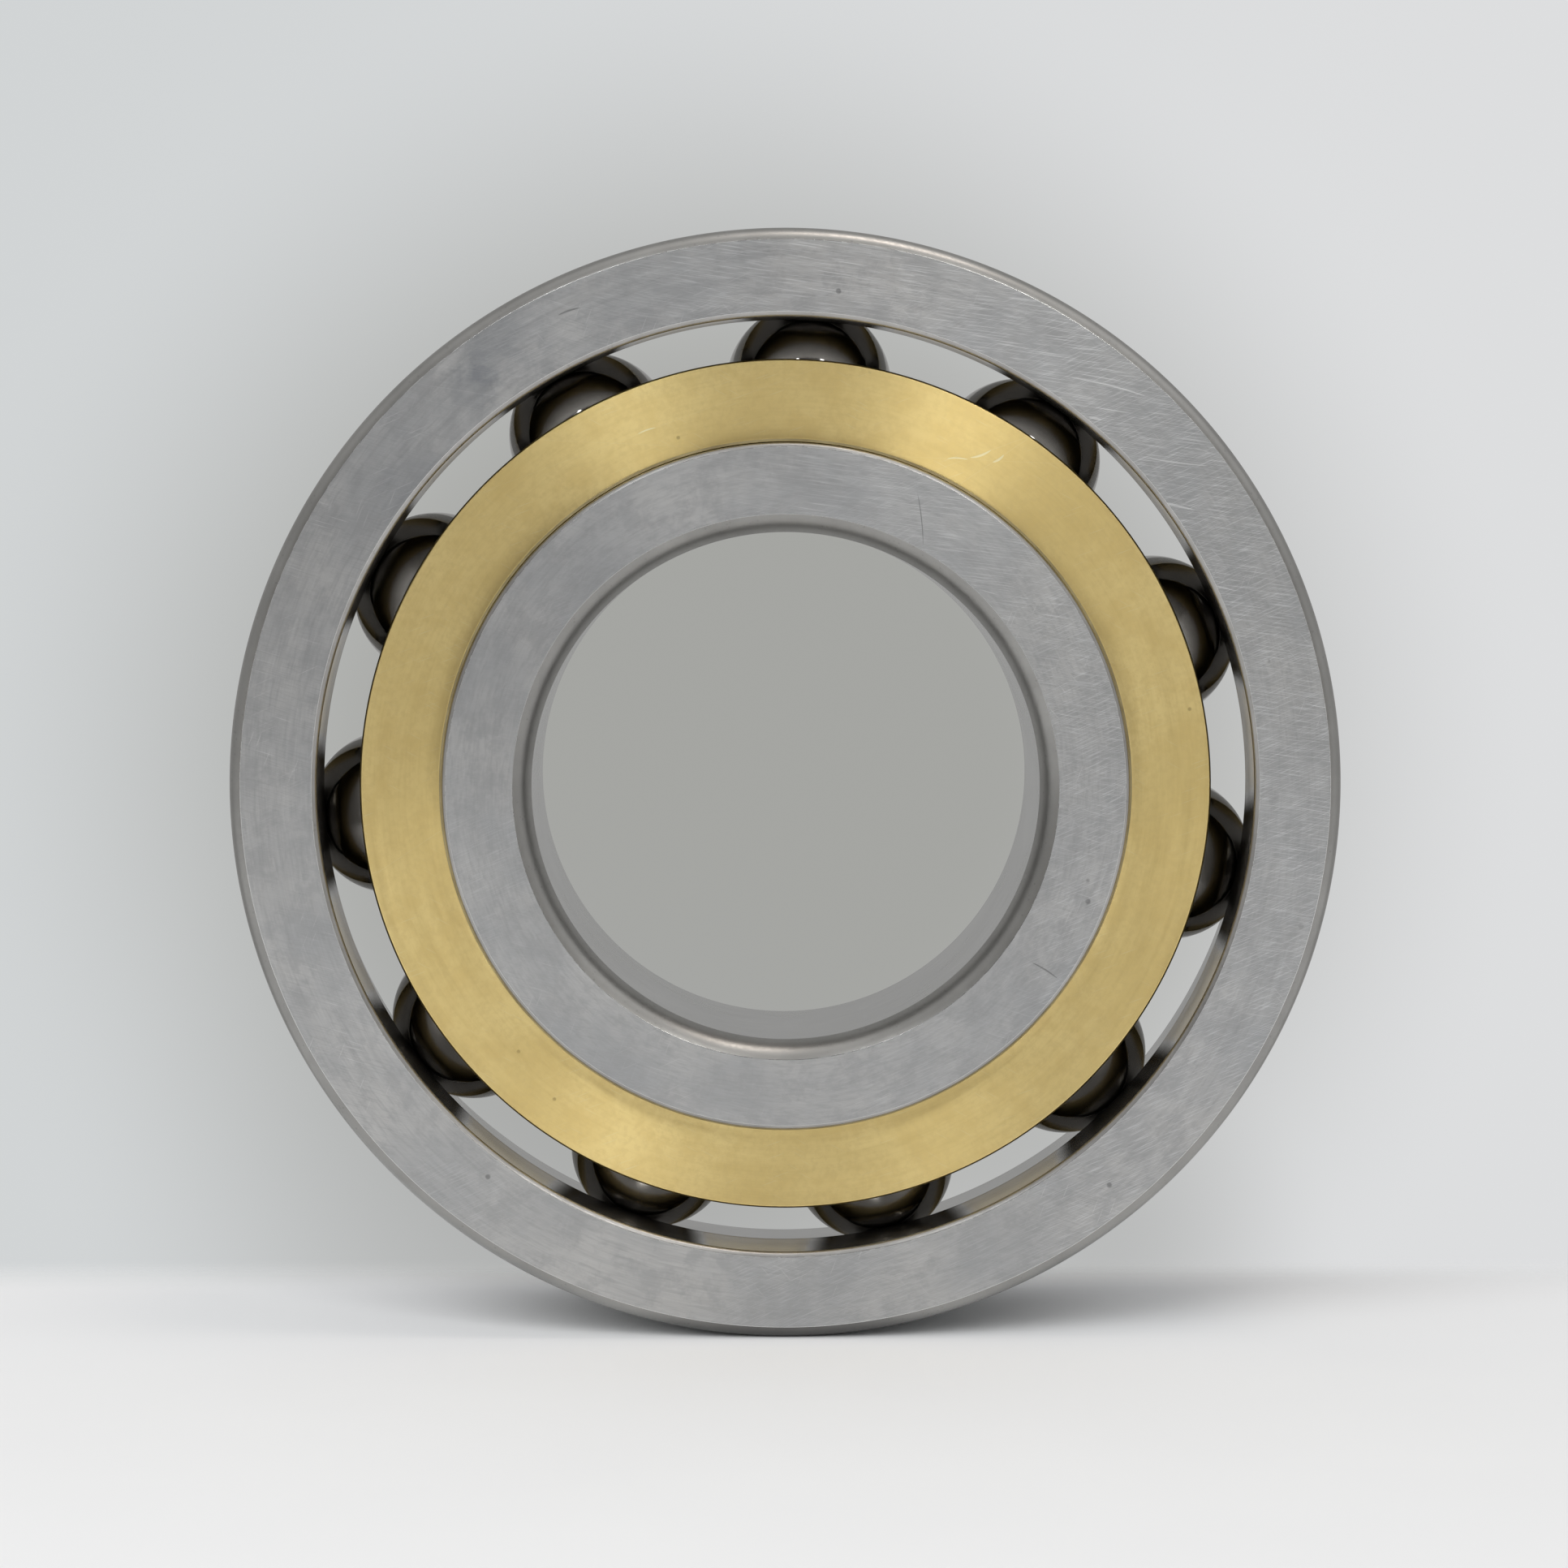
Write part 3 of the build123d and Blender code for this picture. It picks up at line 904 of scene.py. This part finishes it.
BRASS = [
    brass("brass_face", 0.36, 0.96, 0.005 * MM, 8.0, 3000.0, True),
    brass("brass_turned", 0.3, 0.4, 0.006 * MM, 5.0, 3000.0),
    brass("brass_bored", 0.25, 0.1, 0.003 * MM, 5.0, 2400.0),
    brass("brass_edge", 0.3, 0.0, 0.002 * MM, 5.0, 2400.0),
    dull_brass(),
]

FIRST_CENTRE = (BALL_LOW + BALL_HIGH) / 2
FIRST_ANGLE = math.atan2(FIRST_CENTRE.z, FIRST_CENTRE.x)

outer = turned_piece("outer_ring_turned", *outer_outline(), STEEL, STEEL_ZONES)
inner = turned_piece("inner_ring_turned", *inner_outline(), STEEL, STEEL_ZONES)
cage = cage_piece("cage_machined", BRASS, BRASS_ZONES, FIRST_ANGLE)
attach(outer, "outer_ring")
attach(inner, "inner_ring")
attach(cage, "cage")
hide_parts("outer_ring")
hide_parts("inner_ring")
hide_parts("cage")

BALL_MATERIAL = ball_steel()
JOINTS = {joint["child"]: joint for joint in frame["joints"]}
for node_name in BALL_NAMES:
    low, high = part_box(node_name)
    pole = Vector(JOINTS[node_name]["axis"])
    ball = ball_piece(node_name + "_polished", (low + high) / 2, pole, [BALL_MATERIAL])
    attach(ball, node_name)
    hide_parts(node_name)

# ---------------------------------------------------------------- camera
# Fitted to the photo. The yaw is to the right and the pitch downwards, in radians, the lens in mm.
CAMERA_PLACE = Vector((-0.0040748, -0.44471, 0.0307156))
CAMERA_YAW = 0.0089803
CAMERA_PITCH = 0.0702067
CAMERA_LENS = 92.0286
SENSOR_WIDTH = 36.0
NEAREST_SEEN = 0.01
FARTHEST_SEEN = 20.0
VIEW = Vector((
    math.sin(CAMERA_YAW) * math.cos(CAMERA_PITCH),
    math.cos(CAMERA_YAW) * math.cos(CAMERA_PITCH),
    -math.sin(CAMERA_PITCH),
))
SIDEWAYS = Vector((math.cos(CAMERA_YAW), -math.sin(CAMERA_YAW), 0.0))
camera_data = bpy.data.cameras.new("camera")
camera_data.sensor_width = SENSOR_WIDTH
camera_data.lens = CAMERA_LENS
camera_data.clip_start = NEAREST_SEEN
camera_data.clip_end = FARTHEST_SEEN
camera = bpy.data.objects.new("camera", camera_data)
camera.location = CAMERA_PLACE
camera.rotation_euler = VIEW.to_track_quat("-Z", "Y").to_euler()
bpy.context.scene.collection.objects.link(camera)
bpy.context.scene.camera = camera

# ---------------------------------------------------------------- floor
FLOOR_REACH = 1.2
# Where the floor fades out: behind the bearing, by its place along Y, and far away all round.
FADE_BEHIND = (0.012, 0.032)
FADE_FAR = (0.35, 0.9)


def floor_paper():
    """Pale paper that fades into the backdrop behind the bearing and far away from it."""
    material, tree, shader = new_material("floor_paper")
    place = tree.add("ShaderNodeTexCoord").outputs["Object"]
    x, y, _ = tree.split(place)
    tone = tree.noise(place, 30.0, 2.0, 0.5)
    tree.put(shader.inputs["Base Color"], tree.blend(tone, rgb(0.80, 0.81, 0.82), rgb(0.83, 0.84, 0.845)))
    shader.inputs["Roughness"].default_value = 0.7
    shader.inputs["Specular IOR Level"].default_value = 0.2
    behind = tree.ramp(y, *FADE_BEHIND, 1.0, 0.0)
    far = tree.ramp(tree.hypot(x, y), *FADE_FAR, 1.0, 0.0)
    tree.put(shader.inputs["Alpha"], tree.times(behind, far))
    return material


floor_mesh = bpy.data.meshes.new("floor")
floor_mesh.from_pydata(
    [(x * FLOOR_REACH, y * FLOOR_REACH, FLOOR_HEIGHT) for x, y in ((-1, -1), (1, -1), (1, 1), (-1, 1))],
    [],
    [(0, 1, 2, 3)],
)
floor_mesh.materials.append(floor_paper())
floor = bpy.data.objects.new("floor", floor_mesh)
bpy.context.scene.collection.objects.link(floor)


# ---------------------------------------------------------------- lights
def softbox(name, direction, distance, width, height, radiance, colour):
    """Rectangular light that faces the bearing from a direction, not seen by the camera itself."""
    data = bpy.data.lights.new(name, "AREA")
    data.shape = "RECTANGLE"
    data.size = width
    data.size_y = height
    data.energy = radiance * math.pi * width * height
    data.color = colour
    light = bpy.data.objects.new(name, data)
    towards = Vector(direction).normalized()
    light.location = towards * distance
    light.rotation_euler = (-towards).to_track_quat("-Z", "Y").to_euler()
    light.visible_camera = False
    bpy.context.scene.collection.objects.link(light)
    return light


def around_front(angle_deg, off_axis_deg):
    """Direction from the bearing, off the front axis by an angle, turned round it from +X to +Z."""
    turn, off = math.radians(angle_deg), math.radians(off_axis_deg)
    return (math.sin(off) * math.cos(turn), -math.cos(off), math.sin(off) * math.sin(turn))


softbox("window_right", around_front(62, 39), 1.3, 0.09, 0.46, 12.5, (1.0, 0.99, 0.97))
softbox("window_left", around_front(114, 39), 1.3, 0.07, 0.46, 10.7, (0.97, 0.99, 1.0))
softbox("side_left", around_front(240, 42), 1.3, 0.3, 0.2, 1.2, (1.0, 0.98, 0.95))
softbox("ceiling_warm", (0.2, -0.1, 1.0), 1.2, 0.34, 0.4, 3.6, (1.0, 0.88, 0.78))
key = softbox("floor_key", (-0.5, -1.0, 0.85), 1.5, 1.2, 1.2, 3.6, (1.0, 1.0, 1.0))
key.visible_glossy = False

# ---------------------------------------------------------------- surroundings
# Brightness round the bearing's axis, as (degrees from +X towards +Z, value).
WALL_TONES = [
    (0, 0.55), (20, 0.6), (45, 0.95), (62, 1.0), (80, 1.25), (100, 0.95), (125, 0.66), (160, 0.5),
    (182, 0.42), (215, 0.62), (330, 0.62), (360, 0.55),
]
FRONT_TONES = [
    (0, 0.28), (25, 0.29), (60, 0.28), (90, 0.27), (150, 0.3), (180, 0.42), (210, 0.66), (270, 0.78),
    (325, 0.67), (360, 0.28),
]
CURTAIN_WAY = around_front(130, 23)


def round_tones(tree, azimuth, tones):
    """Smooth brightness through (degrees, value) pairs."""
    total = tones[0][1]
    for (a, low), (b, high) in zip(tones, tones[1:]):
        total = tree.plus(total, tree.ramp(azimuth, a, b, 0.0, high - low))
    return total


def mirrored_room(tree, direction):
    """What the metal mirrors: a pale room ahead, a darker band round it, then walls and ceiling.

    dx, dy and dz are the parts of the unit direction, and dy is -1 straight out of the front.
    """
    dx, dy, dz = tree.split(direction)
    azimuth = tree.times(tree.math("ARCTAN2", dz, dx), 180.0 / math.pi)
    azimuth = tree.plus(azimuth, tree.times(tree.math("LESS_THAN", azimuth, 0.0), 360.0))
    walls = tree.grey(round_tones(tree, azimuth, WALL_TONES))
    band = tree.grey(round_tones(tree, azimuth, FRONT_TONES))
    band = tree.vector("MULTIPLY", band, (1.03, 1.0, 0.95))
    ahead = tree.blend(tree.ramp(dz, -0.2, 0.12), rgb(0.72, 0.72, 0.71), rgb(0.6, 0.6, 0.59))
    room = tree.blend(tree.ramp(dy, -0.97, -0.86, 1.0, 0.0), band, ahead)
    curtain = tree.ramp(tree.vector("DOT_PRODUCT", direction, CURTAIN_WAY), 0.85, 0.97, 0.0, 0.9)
    room = tree.blend(curtain, room, rgb(0.16, 0.16, 0.17))
    room = tree.blend(tree.ramp(dy, -0.78, -0.3), room, walls)
    return tree.blend(tree.ramp(dy, 0.1, 0.55), room, rgb(0.46, 0.46, 0.455))


def backdrop(tree, direction):
    """What the camera sees behind the bearing: pale paper with the bearing's own soft shadow on it."""
    forward = tree.ramp(tree.vector("DOT_PRODUCT", direction, tuple(VIEW)), 0.3, 0.6)
    across = tree.vector("DOT_PRODUCT", direction, tuple(SIDEWAYS))
    up = tree.vector("DOT_PRODUCT", direction, tuple(SIDEWAYS.cross(VIEW)))

    def patch(centre, inner_reach, outer_reach):
        """1 in the middle of a round patch of the view, fading to 0 at its outer reach."""
        off = tree.hypot(tree.minus(across, centre[0]), tree.minus(up, centre[1]))
        return tree.times(tree.ramp(off, inner_reach, outer_reach, 1.0, 0.0), forward)

    paper = tree.blend(tree.ramp(across, -0.2, 0.2), rgb(0.64, 0.66, 0.667), rgb(0.725, 0.732, 0.74))
    paper = tree.blend(patch((-0.012, 0.006), 0.06, 0.2), paper, rgb(0.375, 0.378, 0.36))
    low_left = tree.times(patch((-0.054, -0.115), 0.0, 0.13), 0.6)
    low_right = tree.times(patch((0.08, -0.118), 0.0, 0.06), 0.55)
    return tree.blend(tree.math("MAXIMUM", low_left, low_right), paper, rgb(0.38, 0.385, 0.38))


def surroundings():
    """World that mirrors as a room, is the backdrop to the camera, and plain grey to matt surfaces."""
    world = bpy.data.worlds.new("studio")
    bpy.context.scene.world = world
    world.use_nodes = True
    tree = Tree(world.node_tree)
    direction = tree.add("ShaderNodeTexCoord").outputs["Generated"]
    path = tree.add("ShaderNodeLightPath")
    colour = mirrored_room(tree, direction)
    colour = tree.blend(path.outputs["Is Diffuse Ray"], colour, rgb(0.46, 0.46, 0.465))
    colour = tree.blend(path.outputs["Is Camera Ray"], colour, backdrop(tree, direction))
    background = tree.add("ShaderNodeBackground")
    tree.put(background.inputs["Color"], colour)
    tree.put(tree.add("ShaderNodeOutputWorld").inputs[0], background.outputs[0])


surroundings()
bpy.context.scene.view_settings.view_transform = "Standard"
